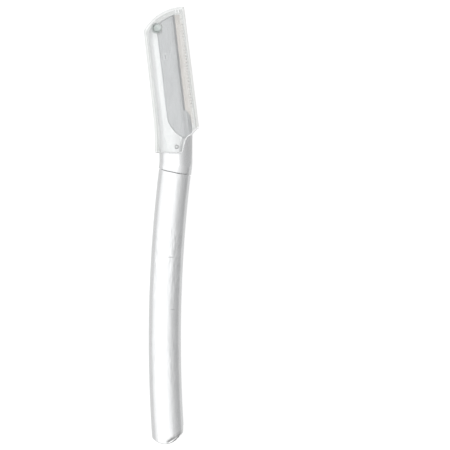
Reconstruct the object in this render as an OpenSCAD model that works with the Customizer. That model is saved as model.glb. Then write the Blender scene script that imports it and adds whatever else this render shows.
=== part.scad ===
// Eyebrow razor with a replaceable blade, shown closed with its clear cap on.
//
// The razor lies on its back on a table: +Z points up through the front face, +Y runs from the
// grip end to the toe of the head, and the cutting edge faces +X. Dimensions are millimetres.
//
// The stem is an oval metal tube bent to one large arc. A die-cast head plugs into it with a tang.
// The head carries the blade between a fixed rear jaw and a hinged clamp flap. A cover plate, held
// by two rivets, closes the spine over the hinge and the leaf spring that keeps the flap shut.

/* [Stem] */
// Width of the oval tube, seen from the front
stem_w = 11.15; // [10.9:0.05:11.3]
// Thickness of the oval stem, front to back
stem_t = 7.2; // [7.1:0.05:7.3]
// Radius of the two narrow sides of the oval
side_r = 2.9; // [2.7:0.05:3]
// Wall of the grip tube
tube_wall = 0.9; // [0.7:0.1:1.1]
// Radius of the long bend of the grip, on its centre line
grip_bend_r = 483; // [470:1:500]
// Angle along the grip's bend at which the tube meets the head
grip_up = 6.85; // [6.7:0.05:6.95]
// Radius of the rounded grip end
end_r = 6.55; // [6.4:0.05:6.8]
// Width of the shadow gap between the tube and the head
seam_gap = 0.3; // [0.2:0.05:0.5]

/* [Head] */
// Width of the neck and the head before the jaws are cut
head_w = 11.4; // [11.2:0.05:11.5]
// Angle that the head leans back from the straight line of the razor
head_lean = 6.6; // [6:0.1:7.2]
// Height of the head's front face above the blade's mid plane
front_z = 2.6; // [2.5:0.05:2.7]
// Depth of the head's back face below the blade's mid plane
back_z = 2.5; // [2.4:0.05:2.55]
// Plane that the cover plate sits on, above the blade's mid plane
cover_z = 1.75; // [1.7:0.05:1.8]
// Clearance round the cover plate
fit_gap = 0.06; // [0.04:0.01:0.1]
// Clearance round the flap
flap_gap = 0.2; // [0.18:0.01:0.25]

/* [Blade] */
// Thickness of the blade
blade_t = 0.25; // [0.2:0.01:0.3]
// Length of the blade
blade_len = 38.3; // [37:0.1:38.6]
// Distance between the three holes in the blade
hole_pitch = 13.2; // [12.5:0.1:13.4]
// Radius of the locating pins
pin_r = 0.9; // [0.7:0.05:0.95]
// Distance between the teeth of the guard
tooth_pitch = 1.1; // [1:0.1:1.5]

/* [Clamp] */
// Opening angle of the flap, to preview it; it swings from 0 to 12 degrees
flap_open = 0; // [0:1:12]
// Radius of the hinge pin
hinge_r = 0.4; // [0.3:0.05:0.45]

/* [Cap] */
// Height of the cap's front above the blade's mid plane
cap_front = 4.4; // [4.35:0.05:4.6]
// Wall of the cap
cap_wall = 0.8; // [0.75:0.05:0.8]
// How far the cap is slid off, to preview it
cap_off = 0; // [0:1:60]

/* [Hidden] */
$fn = 96;

// Layout of the stem's line on the table: the grip's arc, a short bend into the straight neck,
// and a short bend into the leaning head.
arc_c = [grip_bend_r - 2.463, -39.3];
function on_grip(a) = [arc_c[0] - grip_bend_r * cos(a), arc_c[1] + grip_bend_r * sin(a)];
neck_a = 7.1;
turn_r = 18;
neck_p = on_grip(neck_a);
turn1_c = [neck_p[0] - turn_r * cos(neck_a), neck_p[1] + turn_r * sin(neck_a)];
neck_x = turn1_c[0] + turn_r;
turn2_c = [turn1_c[0], 31.35];
head_p = [1.159, 30.827];
end_p = [-2.13, -68.63];
back = stem_t / 2;          // the stem's back and the cap's back lie on the table

// Head frame: u across towards the cutting edge, v along towards the toe, origin at head_p.
toe_c = [12.63, 13.32];
toe_r = 29.7;
window_u = -1.98;           // left edge of the visible flap
jaw_u = 4.47;               // right edge of the jaws beside the blade
edge_u = 6.9;               // cutting edge
back_u = -1.2;              // back of the blade
blade_top = 41.5;
blade_heel = blade_top - blade_len;
hole_u = 2.4;
hole_v = [for (i = [0:2]) blade_top - 7.2 - i * hole_pitch];
hinge = [-2.78, 0.85];      // u and z of the hinge axis
barrel_r = 0.8;
barrel_v = [8.9, 34.7];
tab_v = [6.2, 8.7];
toe_rivet_p = [-2.1, 37.6];
neck_rivet_p = [0.11, -3.8];

// ---- shapes shared by several pieces ----

// Oval of four arcs: two faces and two sides, tangent where they meet; w wide, smaller by g.
module oval(g = 0, w = stem_w) {
  side_c = w / 2 - side_r;
  rise = stem_t / 2 - side_r;
  drop = (side_c * side_c - rise * rise) / (2 * rise);
  face_r = drop + stem_t / 2;
  tangent_x = side_c + (side_r - g) * side_c / (face_r - side_r);
  union() {
    for (s = [-1, 1]) translate([s * side_c, 0]) circle(r = side_r - g);
    intersection() {
      translate([0, -drop]) circle(r = face_r - g, $fn = 240);
      translate([0, drop]) circle(r = face_r - g, $fn = 240);
      square([2 * tangent_x, 2 * stem_t], center = true);
    }
  }
}

// The oval swept along the grip's arc, from angle a0 up to a1.
module grip_sweep(a0, a1, g = 0, w = stem_w) {
  translate([arc_c[0], arc_c[1], 0]) rotate([0, 0, 180 - a1])
    rotate_extrude(angle = a1 - a0, $fn = 1440) translate([grip_bend_r, 0]) oval(g, w);
}

// Everything beyond the grip's rounded end, kept inside radius r.
module beyond_end(r) {
  translate([end_p[0], end_p[1], -10]) linear_extrude(20) difference() {
    translate([-15, -25]) square([30, 25]);
    circle(r = r, $fn = 160);
  }
}

// Half space above the slanted seam between the grip tube and the head.
module above_seam(lift = 0) {
  translate([on_grip(grip_up)[0], on_grip(grip_up)[1] + lift, -10]) rotate([0, 0, -12])
    translate([-60, 0, 0]) cube([120, 120, 20]);
}

module in_head() {
  translate([head_p[0], head_p[1], 0]) rotate([0, 0, head_lean]) children();
}

// Extrudes a profile drawn in (u, z) from v0 to v1 along the head.
module along_head(v0, v1) {
  translate([0, v1, 0]) rotate([90, 0, 0]) linear_extrude(v1 - v0) children();
}

// Extrudes an outline drawn in (u, v) from z0 to z1.
module plate(z0, z1) {
  translate([0, 0, z0]) linear_extrude(z1 - z0) children();
}

// Side view of the neck and head. The front falls in a long curve to the head's face; the back
// steps in just past the cap's mouth.
module side_limit() {
  rotate([90, 0, 90]) translate([0, 0, -15]) linear_extrude(30) polygon(concat(
    [[0, -4.2], [21, -4.2], [21.5, -3.75], [24.3, -back_z], [90, -back_z], [90, front_z]],
    [for (i = [0:12]) let (d = 5.3 * i / 12) [31.1 - d, front_z + 0.19 * d - d * d / 76]],
    [[17.4, front_z + 1.057], [0, 4.2]]
  ));
}

// Rounds the neck's front off to the right while it falls towards the head.
module right_limit() {
  union() {
    translate([neck_x, 19, 3.7 - 7.8]) rotate([86.57, 0, 0]) cylinder(r = 7.8, h = 40, center = true, $fn = 240);
    translate([neck_x - 20, -10, -10]) cube([20, 100, 20]);
    translate([neck_x - 1, 31, -10]) cube([30, 59, 20]);
  }
}

// Outer form of the neck and head, before anything is cut from it.
module envelope() {
  intersection() {
    union() {
      translate([neck_p[0], neck_p[1], 0]) rotate([90, 0, -neck_a]) linear_extrude(5) oval(0, head_w);
      translate([turn1_c[0], turn1_c[1], 0]) rotate([0, 0, -neck_a])
        rotate_extrude(angle = neck_a, $fn = 720) translate([turn_r, 0]) oval(0, head_w);
      translate([neck_x, turn2_c[1], 0]) rotate([90, 0, 0]) linear_extrude(turn2_c[1] - turn1_c[1]) oval(0, head_w);
      translate([turn2_c[0], turn2_c[1], 0]) {
        rotate_extrude(angle = head_lean, $fn = 720) translate([turn_r, 0]) oval(0, head_w);
        rotate([0, 0, head_lean]) translate([turn_r, 0, 0]) rotate([-90, 0, 0]) linear_extrude(41.5) oval(0, head_w);
      }
    }
    side_limit();
    right_limit();
    above_seam(seam_gap);
  }
}

// Outline of the toe: one large arc, a corner cut at the spine and an ear round the rivet.
module toe_outline(g = 0) {
  union() {
    intersection() {
      translate(toe_c) circle(r = toe_r - g, $fn = 360);
      polygon([
        [-8, -14], [16, -14], [16, 50], [-1.6, 50], [-3.3 + g, 38.7], [-4.3 + g, 37.7], [-4.95 + g, 36.8], [-5.32 + g, 35.8],
        [-5.4 + g, 34.5], [-8, 34.5]
      ]);
    }
    translate(toe_rivet_p) circle(r = 1.95 - g);
  }
}

// The lower left edge of the flap, a smooth curve from the spine to the neck's right side.
bez = [[-1.98, 7.2], [-1.98, 3.0], [1.9, -1.7], [4.15, -0.75]];
function bez_at(t) = pow(1 - t, 3) * bez[0] + 3 * pow(1 - t, 2) * t * bez[1] + 3 * (1 - t) * t * t * bez[2] + pow(t, 3) * bez[3];
function bez_d(t) = 3 * (1 - t) * (1 - t) * (bez[1] - bez[0]) + 6 * (1 - t) * t * (bez[2] - bez[1]) + 3 * t * t * (bez[3] - bez[2]);
function bez_out(t, g) = let (d = bez_d(t)) bez_at(t) + g * [d[1], -d[0]] / norm(d);

// Outline of the flap as it shows in the head, larger by g. It widens at the heel.
module window_outline(g = 0) {
  polygon(concat(
    [[window_u - g, 50], [window_u - g, 8]],
    [for (i = [0:24]) bez_out(i / 24, g)],
    [[6.2, -0.1 - g], [9, 0.5], [9, 50]]
  ));
}

// Right side of both jaws: full width at the heel, narrow where the blade is exposed.
module jaw_side(g = 0) {
  polygon([
    [12, 50], [jaw_u - g, 50], [jaw_u - g, 8.7], [4.9 - g, 8.2], [5.4 - g, 7.5], [5.8 - g, 6.6], [6.0 - g, 5.8],
    [6.12 - g, 4.8], [6.12 - g, 3.4], [12, 3.4]
  ]);
}

// Outline of the cover plate: a strip along the spine that widens over the neck.
module cover_outline(g = 0) {
  difference() {
    union() {
      polygon(concat(
        [[-8, 50], [-8, -4.7 - g], [1.1 + g, -5.95 - g], [1.7 + g, -5.55 - g], [2.05 + g, -4.9], [2.5 + g, -3.8],
         [3.1 + g, -2.4], [3.65 + g, -1.4], [4.1 + g, -0.95]],
        [for (i = [24:-1:0]) bez_out(i / 24, -1)],
        [[window_u + 1, 50]]
      ));
      translate(toe_rivet_p) circle(r = 1.95 + g);
    }
    difference() {
      window_outline(flap_gap / 2 - g);
      translate(toe_rivet_p) circle(r = 1.95 + g);
    }
  }
}

// Outline of the blade: one long cutting edge, and the corner at the toe clipped.
module blade_outline(g = 0) {
  h = blade_heel - g;
  polygon([
    [back_u - g, h + 0.5], [back_u + 0.5, h], [edge_u - 0.6 + g, h], [edge_u - 0.18 + g, h + 0.18], [edge_u + g, h + 0.6],
    [edge_u + g, blade_top - 0.6 + g], [edge_u - 0.18 + g, blade_top - 0.18 + g], [edge_u - 0.6 + g, blade_top + g],
    [jaw_u, blade_top + g], [back_u - g, 34.6 + g]
  ]);
}

// Outline of the leaf spring, from the neck rivet to the tab on the flap.
module leaf_outline(g = 0) {
  polygon([
    [-0.75 - g, -4.5 - g], [0.85 + g, -4.7 - g], [0.95 + g, -3.2 + g], [-1.95 + g, 2.6 + g], [-2.0 + g, 8.45 + g],
    [-3.0 - g, 8.45 + g], [-3.0 - g, 0.4 - g]
  ]);
}

// ---- the pieces ----

// Bent metal tube that forms the grip, with a round end and a slanted mouth for the head.
module grip_tube() {
  color([0.86, 0.87, 0.88]) difference() {
    grip_sweep(-5.2, grip_up + 0.8);
    grip_sweep(-5.4, grip_up + 1, tube_wall);
    above_seam();
    beyond_end(end_r);
    pin_place() translate([0, 0, -5]) cylinder(r = 0.8, h = 5, $fn = 48);
  }
}

// Plug that closes the round end, set just inside the tube's rim.
module end_plug() {
  color([0.74, 0.75, 0.76]) difference() {
    grip_sweep(-4.9, -3.3, tube_wall + 0.02);
    beyond_end(end_r - 0.35);
    difference() {
      grip_sweep(-4.8, -3.1, tube_wall + 1.1);
      beyond_end(end_r - 1.9);
    }
  }
}

// Where the tang pin crosses the tube, from the back.
module pin_place() {
  a = grip_up - 1;
  translate([on_grip(a)[0], on_grip(a)[1], 0]) children();
}

// Spring pin that holds the tang in the tube. It enters from the back and stops in the tang.
module tang_pin() {
  color([0.6, 0.61, 0.63]) pin_place() difference() {
    translate([0, 0, -3.45]) cylinder(r = 0.8, h = 4.4, $fn = 48);
    translate([0, 0, -4]) cylinder(r = 0.45, h = 6, $fn = 48);
    translate([0, -0.15, -4]) cube([2, 0.3, 6]);
  }
}

// Die-cast head: neck, spine, rear jaw and the tang that plugs into the grip tube.
module head_body() {
  groove = barrel_v[1] - barrel_v[0] + 3.05;
  color([0.83, 0.84, 0.85]) difference() {
    union() {
      difference() {
        envelope();
        in_head() {
          // outside the toe's outline
          plate(-4, 4) difference() {
            translate([-9, 30]) square([20, 20]);
            toe_outline();
          }
          // right of the jaws
          plate(-4, 4) jaw_side();
          // sloping panel at the back, under the flap
          intersection() {
            along_head(-1.6, 50) polygon([[window_u, -4], [window_u, -back_z], [jaw_u, -1], [8, -0.2], [8, -4]]);
            plate(-5, 0) difference() {
              window_outline();
              translate(toe_rivet_p) circle(r = 1.95);
            }
          }
          // seat of the cover plate
          plate(cover_z, 4) cover_outline(fit_gap);
          // room for the flap, down to the floor below it
          plate(0.1, 4) difference() {
            window_outline(flap_gap / 2);
            translate(toe_rivet_p) circle(r = 1.9);
          }
          // seat of the blade
          plate(-blade_t / 2, 4) difference() {
            blade_outline(0.04);
            translate(toe_rivet_p) circle(r = 1.9);
          }
          // groove of the hinge barrel, open above and towards the flap
          translate([hinge[0], barrel_v[0] - 2.9, hinge[1]]) rotate([-90, 0, 0])
            cylinder(r = barrel_r + 0.1, h = groove, $fn = 64);
          translate([hinge[0] - barrel_r - 0.1, barrel_v[0] - 2.9, hinge[1]]) cube([2.2, groove, 3]);
          translate([hinge[0], barrel_v[0] - 2.9, 0.1]) cube([1.4, groove, 3]);
          // pocket of the leaf spring
          plate(cover_z - 0.15, 4) leaf_outline(0.05);
        }
      }
      // tang
      grip_sweep(grip_up - 1.75, grip_up + 0.55, tube_wall + 0.06);
      // collar that forms the bottom of the shadow gap
      intersection() {
        grip_sweep(grip_up - 0.3, grip_up + 0.3, 0.4);
        above_seam(0.06);
      }
    }
    in_head() {
      // bores of the hinge pin, in one line
      translate([hinge[0], 4.2, hinge[1]]) rotate([-90, 0, 0]) cylinder(r = hinge_r, h = 31.4, $fn = 48);
      // bores of the locating pins
      for (v = hole_v) translate([hole_u, v, -0.9]) cylinder(r = pin_r, h = 2, $fn = 48);
      // rivet holes, sunk at the back
      translate([toe_rivet_p[0], toe_rivet_p[1], -4]) cylinder(r = 0.62, h = 8, $fn = 48);
      translate([toe_rivet_p[0], toe_rivet_p[1], -4]) cylinder(r = 1.1, h = 4 - back_z + 0.35, $fn = 48);
      translate([neck_rivet_p[0], neck_rivet_p[1], -4]) cylinder(r = 0.52, h = 8, $fn = 48);
      translate([neck_rivet_p[0], neck_rivet_p[1], -4]) cylinder(r = 0.92, h = 4 - back_z + 0.35, $fn = 48);
    }
    pin_place() translate([0, 0, -5]) cylinder(r = 0.8, h = 5.95, $fn = 48);
  }
}

// Cover plate over the spine and the neck.
module spine_cover() {
  color([0.88, 0.89, 0.9]) difference() {
    intersection() {
      envelope();
      in_head() plate(cover_z, 4) intersection() {
        cover_outline();
        toe_outline();
      }
    }
    in_head() {
      translate([toe_rivet_p[0], toe_rivet_p[1], 0]) {
        cylinder(r = 0.62, h = 5, $fn = 48);
        translate([0, 0, front_z - 0.3]) cylinder(r = 1.82, h = 2, $fn = 64);
      }
      translate([neck_rivet_p[0], neck_rivet_p[1], 0]) {
        cylinder(r = 0.52, h = 5, $fn = 48);
        translate([0, 0, 2.75]) cylinder(r = 0.72, h = 2, $fn = 64);
      }
      // relief for the leaf spring's free end
      translate([-3.1, 2.9, cover_z - 1]) cube([1.2, 5.95, 1.25]);
    }
  }
}

// A rivet with a low domed head whose seat is at z1, and a sunk head at the back.
module rivet(shank_r, front_r, back_r, z1) {
  translate([0, 0, -back_z + 0.02]) cylinder(r = back_r, h = 0.32, $fn = 64);
  translate([0, 0, -back_z + 0.1]) cylinder(r = shank_r, h = z1 + back_z, $fn = 48);
  translate([0, 0, z1 + 0.01]) cylinder(r = front_r, h = 0.27, $fn = 64);
  translate([0, 0, z1 + 0.28]) cylinder(r1 = front_r, r2 = front_r - 0.35, h = 0.12, $fn = 64);
}

module toe_rivet() {
  color([0.42, 0.46, 0.45]) in_head() translate([toe_rivet_p[0], toe_rivet_p[1], 0])
    rivet(0.6, 1.8, 1.08, front_z - 0.3);
}

module neck_rivet() {
  color([0.5, 0.51, 0.52]) in_head() translate([neck_rivet_p[0], neck_rivet_p[1], 0])
    rivet(0.5, 0.7, 0.9, 2.75);
}

// Steel pin that the flap turns on, held in the head at both ends.
module hinge_pin() {
  color([0.7, 0.71, 0.72]) in_head() translate([hinge[0], 4.3, hinge[1]]) rotate([-90, 0, 0])
    cylinder(r = hinge_r, h = 31.2, $fn = 48);
}

// Clamp flap: the front jaw that presses the blade on its seat.
module clamp_flap() {
  inner = blade_t / 2 + 0.01;
  color([0.66, 0.68, 0.7]) in_head() translate([hinge[0], 0, hinge[1]]) rotate([0, -flap_open, 0])
    translate([-hinge[0], 0, -hinge[1]]) difference() {
      union() {
        intersection() {
          union() {
            // blade part, with a broad bevel along its free edge
            along_head(8.4, 44) polygon([
              [window_u, 0.3], [window_u + 0.2, inner], [jaw_u, inner], [jaw_u, 0.3], [3.75, 0.92],
              [window_u + 0.15, 1.32], [window_u, 1.2]
            ]);
            // heel part, whose bevel reaches the side of the neck
            along_head(-2, 8.4) polygon([
              [window_u, 0.3], [window_u + 0.2, inner], [6.15, inner], [6.15, 0.25], [5.7, 0.5], [4.9, 0.74], [3.75, 0.92],
              [window_u + 0.15, 1.32], [window_u, 1.2]
            ]);
          }
          plate(-1, 3) difference() {
            window_outline(-flap_gap / 2);
            jaw_side();
            translate(toe_rivet_p) circle(r = 2.25);
          }
          // the toe's edge is bevelled
          union() {
            translate([toe_c[0], toe_c[1], -1]) cylinder(r = toe_r - 0.1, h = 1.5, $fn = 360);
            translate([toe_c[0], toe_c[1], 0.5]) cylinder(r1 = toe_r - 0.1, r2 = toe_r - 1, h = 1.1, $fn = 360);
          }
          in_neck_width();
        }
        // rolled barrel and the web beside it
        translate([hinge[0], barrel_v[0], hinge[1]]) rotate([-90, 0, 0])
          cylinder(r = barrel_r, h = barrel_v[1] - barrel_v[0], $fn = 64);
        translate([hinge[0], barrel_v[0], 0.5]) cube([window_u - hinge[0] + 0.3, barrel_v[1] - barrel_v[0], 0.7]);
        // tab that the leaf spring presses on
        translate([-2.75, tab_v[0], 0.85]) cube([0.7, tab_v[1] - tab_v[0] + 0.4, cover_z - 0.16 - 0.85]);
        translate([-2.75, tab_v[0], 0.85]) cube([window_u + 2.75 + 0.3, tab_v[1] - tab_v[0] + 0.4, 0.35]);
      }
      translate([hinge[0], 0, hinge[1]]) rotate([-90, 0, 0]) cylinder(r = hinge_r + 0.03, h = 40, $fn = 48);
      // recesses over the locating pins
      for (v = hole_v) translate([hole_u, v, -1]) cylinder(r = pin_r + 0.25, h = 1.6, $fn = 48);
      // small thumbnail notch in the face, a shallow V
      along_head(26.7, 28.3) polygon([[-0.1, 1.02], [0.84, 1.4], [-0.75, 1.4]]);
    }
}

// Keeps the heel of the flap within the side of the neck.
module in_neck_width() {
  plate(-1, 3) polygon([[-4, -3], [5.78, -3], [5.95, -0.3], [6.05, 1.2], [6.1, 3], [6.1, 50], [-4, 50]]);
}

// Leaf spring, held by the neck rivet, that keeps the flap shut.
module clamp_spring() {
  color([0.55, 0.56, 0.58]) in_head() difference() {
    plate(cover_z - 0.15, cover_z) leaf_outline();
    translate([neck_rivet_p[0], neck_rivet_p[1], 0]) cylinder(r = 0.54, h = 4, $fn = 48);
  }
}

// Three pins in the rear jaw that locate the blade by its holes.
module locating_pins() {
  color([0.72, 0.73, 0.74]) in_head() for (v = hole_v) translate([hole_u, v, -0.9]) {
    cylinder(r = pin_r, h = 1.2, $fn = 48);
    translate([0, 0, 1.2]) cylinder(r1 = pin_r, r2 = pin_r - 0.15, h = 0.15, $fn = 48);
  }
}

// Steel blade, ground on both sides.
module blade() {
  color([0.86, 0.82, 0.81]) in_head() difference() {
    intersection() {
      plate(-1, 1) blade_outline();
      along_head(0, 50) polygon([
        [back_u - 1, -blade_t / 2], [edge_u - 0.7, -blade_t / 2], [edge_u, -0.02], [edge_u, 0.02],
        [edge_u - 0.7, blade_t / 2], [back_u - 1, blade_t / 2]
      ]);
    }
    for (v = hole_v) translate([hole_u, v, -1]) cylinder(r = pin_r + 0.08, h = 2, $fn = 48);
  }
}

// Folded strip with fine teeth over the cutting edge, which keeps the skin off it.
module edge_guard() {
  n = floor((blade_len - 7.5) / tooth_pitch);
  v0 = blade_heel + 6;
  v1 = v0 + n * tooth_pitch - tooth_pitch * 0.5;
  color([0.78, 0.77, 0.76]) in_head() difference() {
    along_head(v0, v1) polygon([
      [edge_u - 1.35, -0.26], [edge_u - 0.1, -0.26], [edge_u + 0.12, -0.12], [edge_u + 0.12, 0.12], [edge_u - 0.1, 0.26],
      [edge_u - 1.35, 0.26], [edge_u - 1.35, blade_t / 2], [edge_u - 0.7, blade_t / 2], [edge_u, 0.02], [edge_u, -0.02],
      [edge_u - 0.7, -blade_t / 2], [edge_u - 1.35, -blade_t / 2]
    ]);
    for (i = [0:n - 2]) translate([edge_u - 0.75, v0 + tooth_pitch * (i + 0.5), -1]) cube([2, tooth_pitch * 0.5, 2]);
  }
}

// Outline of the cap, smaller by g on the sides and the toe; with mouth > 0 its mouth stays open.
module cap_outline(g = 0, mouth = 0) {
  difference() {
    intersection() {
      polygon([
        [-7.62 + g, -5.2], [-7.62 + g, -9], [8.62 - g, -9], [8.5 - g, 2.3], [8.1 - g, 50], [-6.55 + g, 50], [-6.6 + g, 14],
        [-6.7 + g, 5], [-6.85 + g, 2]
      ]);
      union() {
        translate([-12, -12]) square([30, 42]);
        translate([6.47, 27.8]) circle(r = 15.98 - g, $fn = 300);
      }
    }
    if (mouth == 0) mouth_cut();
  }
}

// What the mouth leaves open: the grip side, and the corner beside the neck.
module mouth_cut() {
  polygon([
    [-12, -4.24], [-7.6, -4.85], [1.2, -6.1], [1.75, -5.95], [2.05, -5.4], [2.35, -4.7], [2.75, -3.6], [3.35, -2.1],
    [3.85, -1.25], [4.45, -0.7], [5.2, -0.4], [5.85, 0], [6.35, 0.5], [7, 1.1], [7.7, 1.6], [8.5, 1.95], [20, 2], [20, -20],
    [-12, -20]
  ]);
}

// Clear cap that slides over the head from the toe, as one moulding.
module protective_cap() {
  color([0.9, 0.93, 0.92, 0.35]) in_head() translate([0, cap_off, 0]) {
    difference() {
      plate(-back, cap_front) cap_outline();
      plate(-back + cap_wall, cap_front - cap_wall) cap_outline(cap_wall, 1);
    }
    // ribs inside that grip the front of the spine
    for (u = [-4.2, -2.9]) translate([u, 3.5, front_z + 0.18]) cube([0.6, 8, cap_front - cap_wall - front_z + 0.02]);
    // two short ribs at the toe that stop the cap just clear of the blade's end
    for (u = [4.95, 5.85]) translate([u, 41.85, cap_wall - back - 0.1]) cube([0.35, 1.4, back + cap_front - 2 * cap_wall + 0.2]);
  }
}

translate([0.12, 0.007, back]) {
  grip_tube();
  end_plug();
  head_body();
  tang_pin();
  spine_cover();
  toe_rivet();
  neck_rivet();
  hinge_pin();
  clamp_flap();
  clamp_spring();
  locating_pins();
  blade();
  edge_guard();
  protective_cap();
}
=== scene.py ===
import math
import bmesh
import bpy
from mathutils import Matrix, Vector
from mathutils.bvhtree import BVHTree


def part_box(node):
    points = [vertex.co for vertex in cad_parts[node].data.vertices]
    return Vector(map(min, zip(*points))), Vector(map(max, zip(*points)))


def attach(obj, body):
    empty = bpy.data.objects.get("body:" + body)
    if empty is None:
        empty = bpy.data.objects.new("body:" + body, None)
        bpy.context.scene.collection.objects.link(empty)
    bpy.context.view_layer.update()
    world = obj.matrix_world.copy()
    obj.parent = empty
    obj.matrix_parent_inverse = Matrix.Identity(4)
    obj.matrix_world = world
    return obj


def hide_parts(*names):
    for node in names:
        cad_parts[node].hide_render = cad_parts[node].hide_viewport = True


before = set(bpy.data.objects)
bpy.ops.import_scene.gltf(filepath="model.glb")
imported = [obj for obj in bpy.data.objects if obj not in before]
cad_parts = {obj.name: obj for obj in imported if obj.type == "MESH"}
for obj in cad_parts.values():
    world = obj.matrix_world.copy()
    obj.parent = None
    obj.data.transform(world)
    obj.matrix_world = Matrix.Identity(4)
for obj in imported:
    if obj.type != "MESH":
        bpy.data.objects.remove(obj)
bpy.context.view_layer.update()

MM = 0.001
SHIFT = (0.12, 0.007, 3.6)          # where the construction's own origin lies, in millimetres
ARC_C = (480.537 + SHIFT[0], -39.3 + SHIFT[1])
ARC_R = 483.0
GRIP_UP = math.radians(6.85)
END_P = (-2.13 + SHIFT[0], -68.63 + SHIFT[1])
HEAD_P = (1.159 + SHIFT[0], 30.827 + SHIFT[1])
LEAN = math.radians(6.6)
COS, SIN = math.cos(LEAN), math.sin(LEAN)


def head_to_world(u, v, z):
    """A point of the head's frame (across, along, up; millimetres) in the row frame, in metres."""
    return Vector((HEAD_P[0] + u * COS - v * SIN, HEAD_P[1] + u * SIN + v * COS, SHIFT[2] + z)) * MM


HEAD_M = Matrix(((COS * MM, -SIN * MM, 0, HEAD_P[0] * MM), (SIN * MM, COS * MM, 0, HEAD_P[1] * MM),
                 (0, 0, MM, SHIFT[2] * MM), (0, 0, 0, 1)))

# ---------------------------------------------------------------- camera, light and floor
scene = bpy.context.scene
scene.view_settings.view_transform = "Standard"

cam_data = bpy.data.cameras.new("camera")
cam = bpy.data.objects.new("camera", cam_data)
scene.collection.objects.link(cam)
CAM_H = 0.9
cam_data.lens = 36.0 * (CAM_H - 0.004) / 0.15525
cam_data.sensor_width = 36.0
cam_data.clip_start = 0.01
cam_data.clip_end = 20
cam.location = (0.01844, 0.00018, CAM_H)
scene.camera = cam


world = bpy.data.worlds.new("studio")
scene.world = world
world.use_nodes = True
wt = world.node_tree
wt.nodes.clear()


def set_ramp(ramp, stops, interpolation="EASE"):
    """Fills a colour ramp; stops run from low to high."""
    ramp.interpolation = interpolation
    ramp.elements[0].position, ramp.elements[0].color = stops[0][0], stops[0][1]
    ramp.elements[1].position, ramp.elements[1].color = stops[-1][0], stops[-1][1]
    for pos, col in stops[1:-1]:
        ramp.elements.new(pos).color = col


def grey(v, warm=0.0):
    return (v * (1 + warm), v, v * (1 - warm), 1)


def w_node(kind, **props):
    n = wt.nodes.new(kind)
    for k, v in props.items():
        setattr(n, k, v)
    return n


def w_smooth(value, lo, hi, to_lo, to_hi):
    n = w_node("ShaderNodeMapRange", interpolation_type="SMOOTHSTEP")
    for key, v in (("From Min", lo), ("From Max", hi), ("To Min", to_lo), ("To Max", to_hi)):
        n.inputs[key].default_value = v
    wt.links.new(value, n.inputs["Value"])
    return n.outputs[0]


# A large soft source overhead and to the left; the room falls off to the right, far behind and at the near right.
w_out = w_node("ShaderNodeOutputWorld")
w_bg = w_node("ShaderNodeBackground")
w_tc = w_node("ShaderNodeTexCoord")
w_sep = w_node("ShaderNodeSeparateXYZ")
wt.links.new(w_tc.outputs["Generated"], w_sep.inputs[0])
w_map = w_smooth(w_sep.outputs[0], -1, 1, 0, 1)
w_map.node.interpolation_type = "LINEAR"
w_ramp = w_node("ShaderNodeValToRGB")
wt.links.new(w_map, w_ramp.inputs[0])
STOPS = [(-1.0, 1.10), (-0.95, 1.22), (-0.87, 1.50), (-0.78, 1.78), (-0.68, 1.92), (0.08, 1.92), (0.19, 1.81), (0.31, 1.58),
         (0.43, 1.31), (0.55, 1.08), (0.69, 0.90), (0.85, 0.80), (1.0, 0.84)]
set_ramp(w_ramp.color_ramp, [((x + 1) / 2, grey(v / 2, -0.004)) for x, v in STOPS])
far = w_smooth(w_sep.outputs[1], 0.50, 0.92, 1.0, 0.30)
near = w_node("ShaderNodeVectorMath", operation="DOT_PRODUCT")
wt.links.new(w_tc.outputs["Generated"], near.inputs[0])
near.inputs[1].default_value = Vector((0.60, -0.77, 0.22)).normalized()
near = w_smooth(near.outputs["Value"], 0.68, 0.88, 1.0, 0.16)
mul = w_node("ShaderNodeMath", operation="MULTIPLY")
wt.links.new(far, mul.inputs[0])
wt.links.new(near, mul.inputs[1])
# towards both ends of the razor the horizon is darker, so that its sides stand out in views along it
w_abs = w_node("ShaderNodeMath", operation="ABSOLUTE")
wt.links.new(w_sep.outputs[1], w_abs.inputs[0])
ends = w_node("ShaderNodeMath", operation="MULTIPLY")
wt.links.new(w_smooth(w_abs.outputs[0], 0.34, 0.80, 0.0, 0.58), ends.inputs[0])
wt.links.new(w_smooth(w_sep.outputs[2], 0.20, 0.75, 1.0, 0.0), ends.inputs[1])
w_inv = w_node("ShaderNodeMath", operation="SUBTRACT")
w_inv.inputs[0].default_value = 1.0
wt.links.new(ends.outputs[0], w_inv.inputs[1])
mul3 = w_node("ShaderNodeMath", operation="MULTIPLY")
wt.links.new(mul.outputs[0], mul3.inputs[0])
wt.links.new(w_inv.outputs[0], mul3.inputs[1])
mul2 = w_node("ShaderNodeMath", operation="MULTIPLY")
wt.links.new(mul3.outputs[0], mul2.inputs[0])
mul2.inputs[1].default_value = 2.0
wt.links.new(w_ramp.outputs[0], w_bg.inputs["Color"])
wt.links.new(mul2.outputs[0], w_bg.inputs["Strength"])
# what is seen past the floor's far edge is white, like the floor
w_path = w_node("ShaderNodeLightPath")
w_white = w_node("ShaderNodeBackground")
w_white.inputs["Color"].default_value = (1, 1, 1, 1)
w_white.inputs["Strength"].default_value = 1.1
w_pick = w_node("ShaderNodeMixShader")
wt.links.new(w_path.outputs["Is Camera Ray"], w_pick.inputs[0])
wt.links.new(w_bg.outputs[0], w_pick.inputs[1])
wt.links.new(w_white.outputs[0], w_pick.inputs[2])
wt.links.new(w_pick.outputs[0], w_out.inputs["Surface"])


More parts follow.
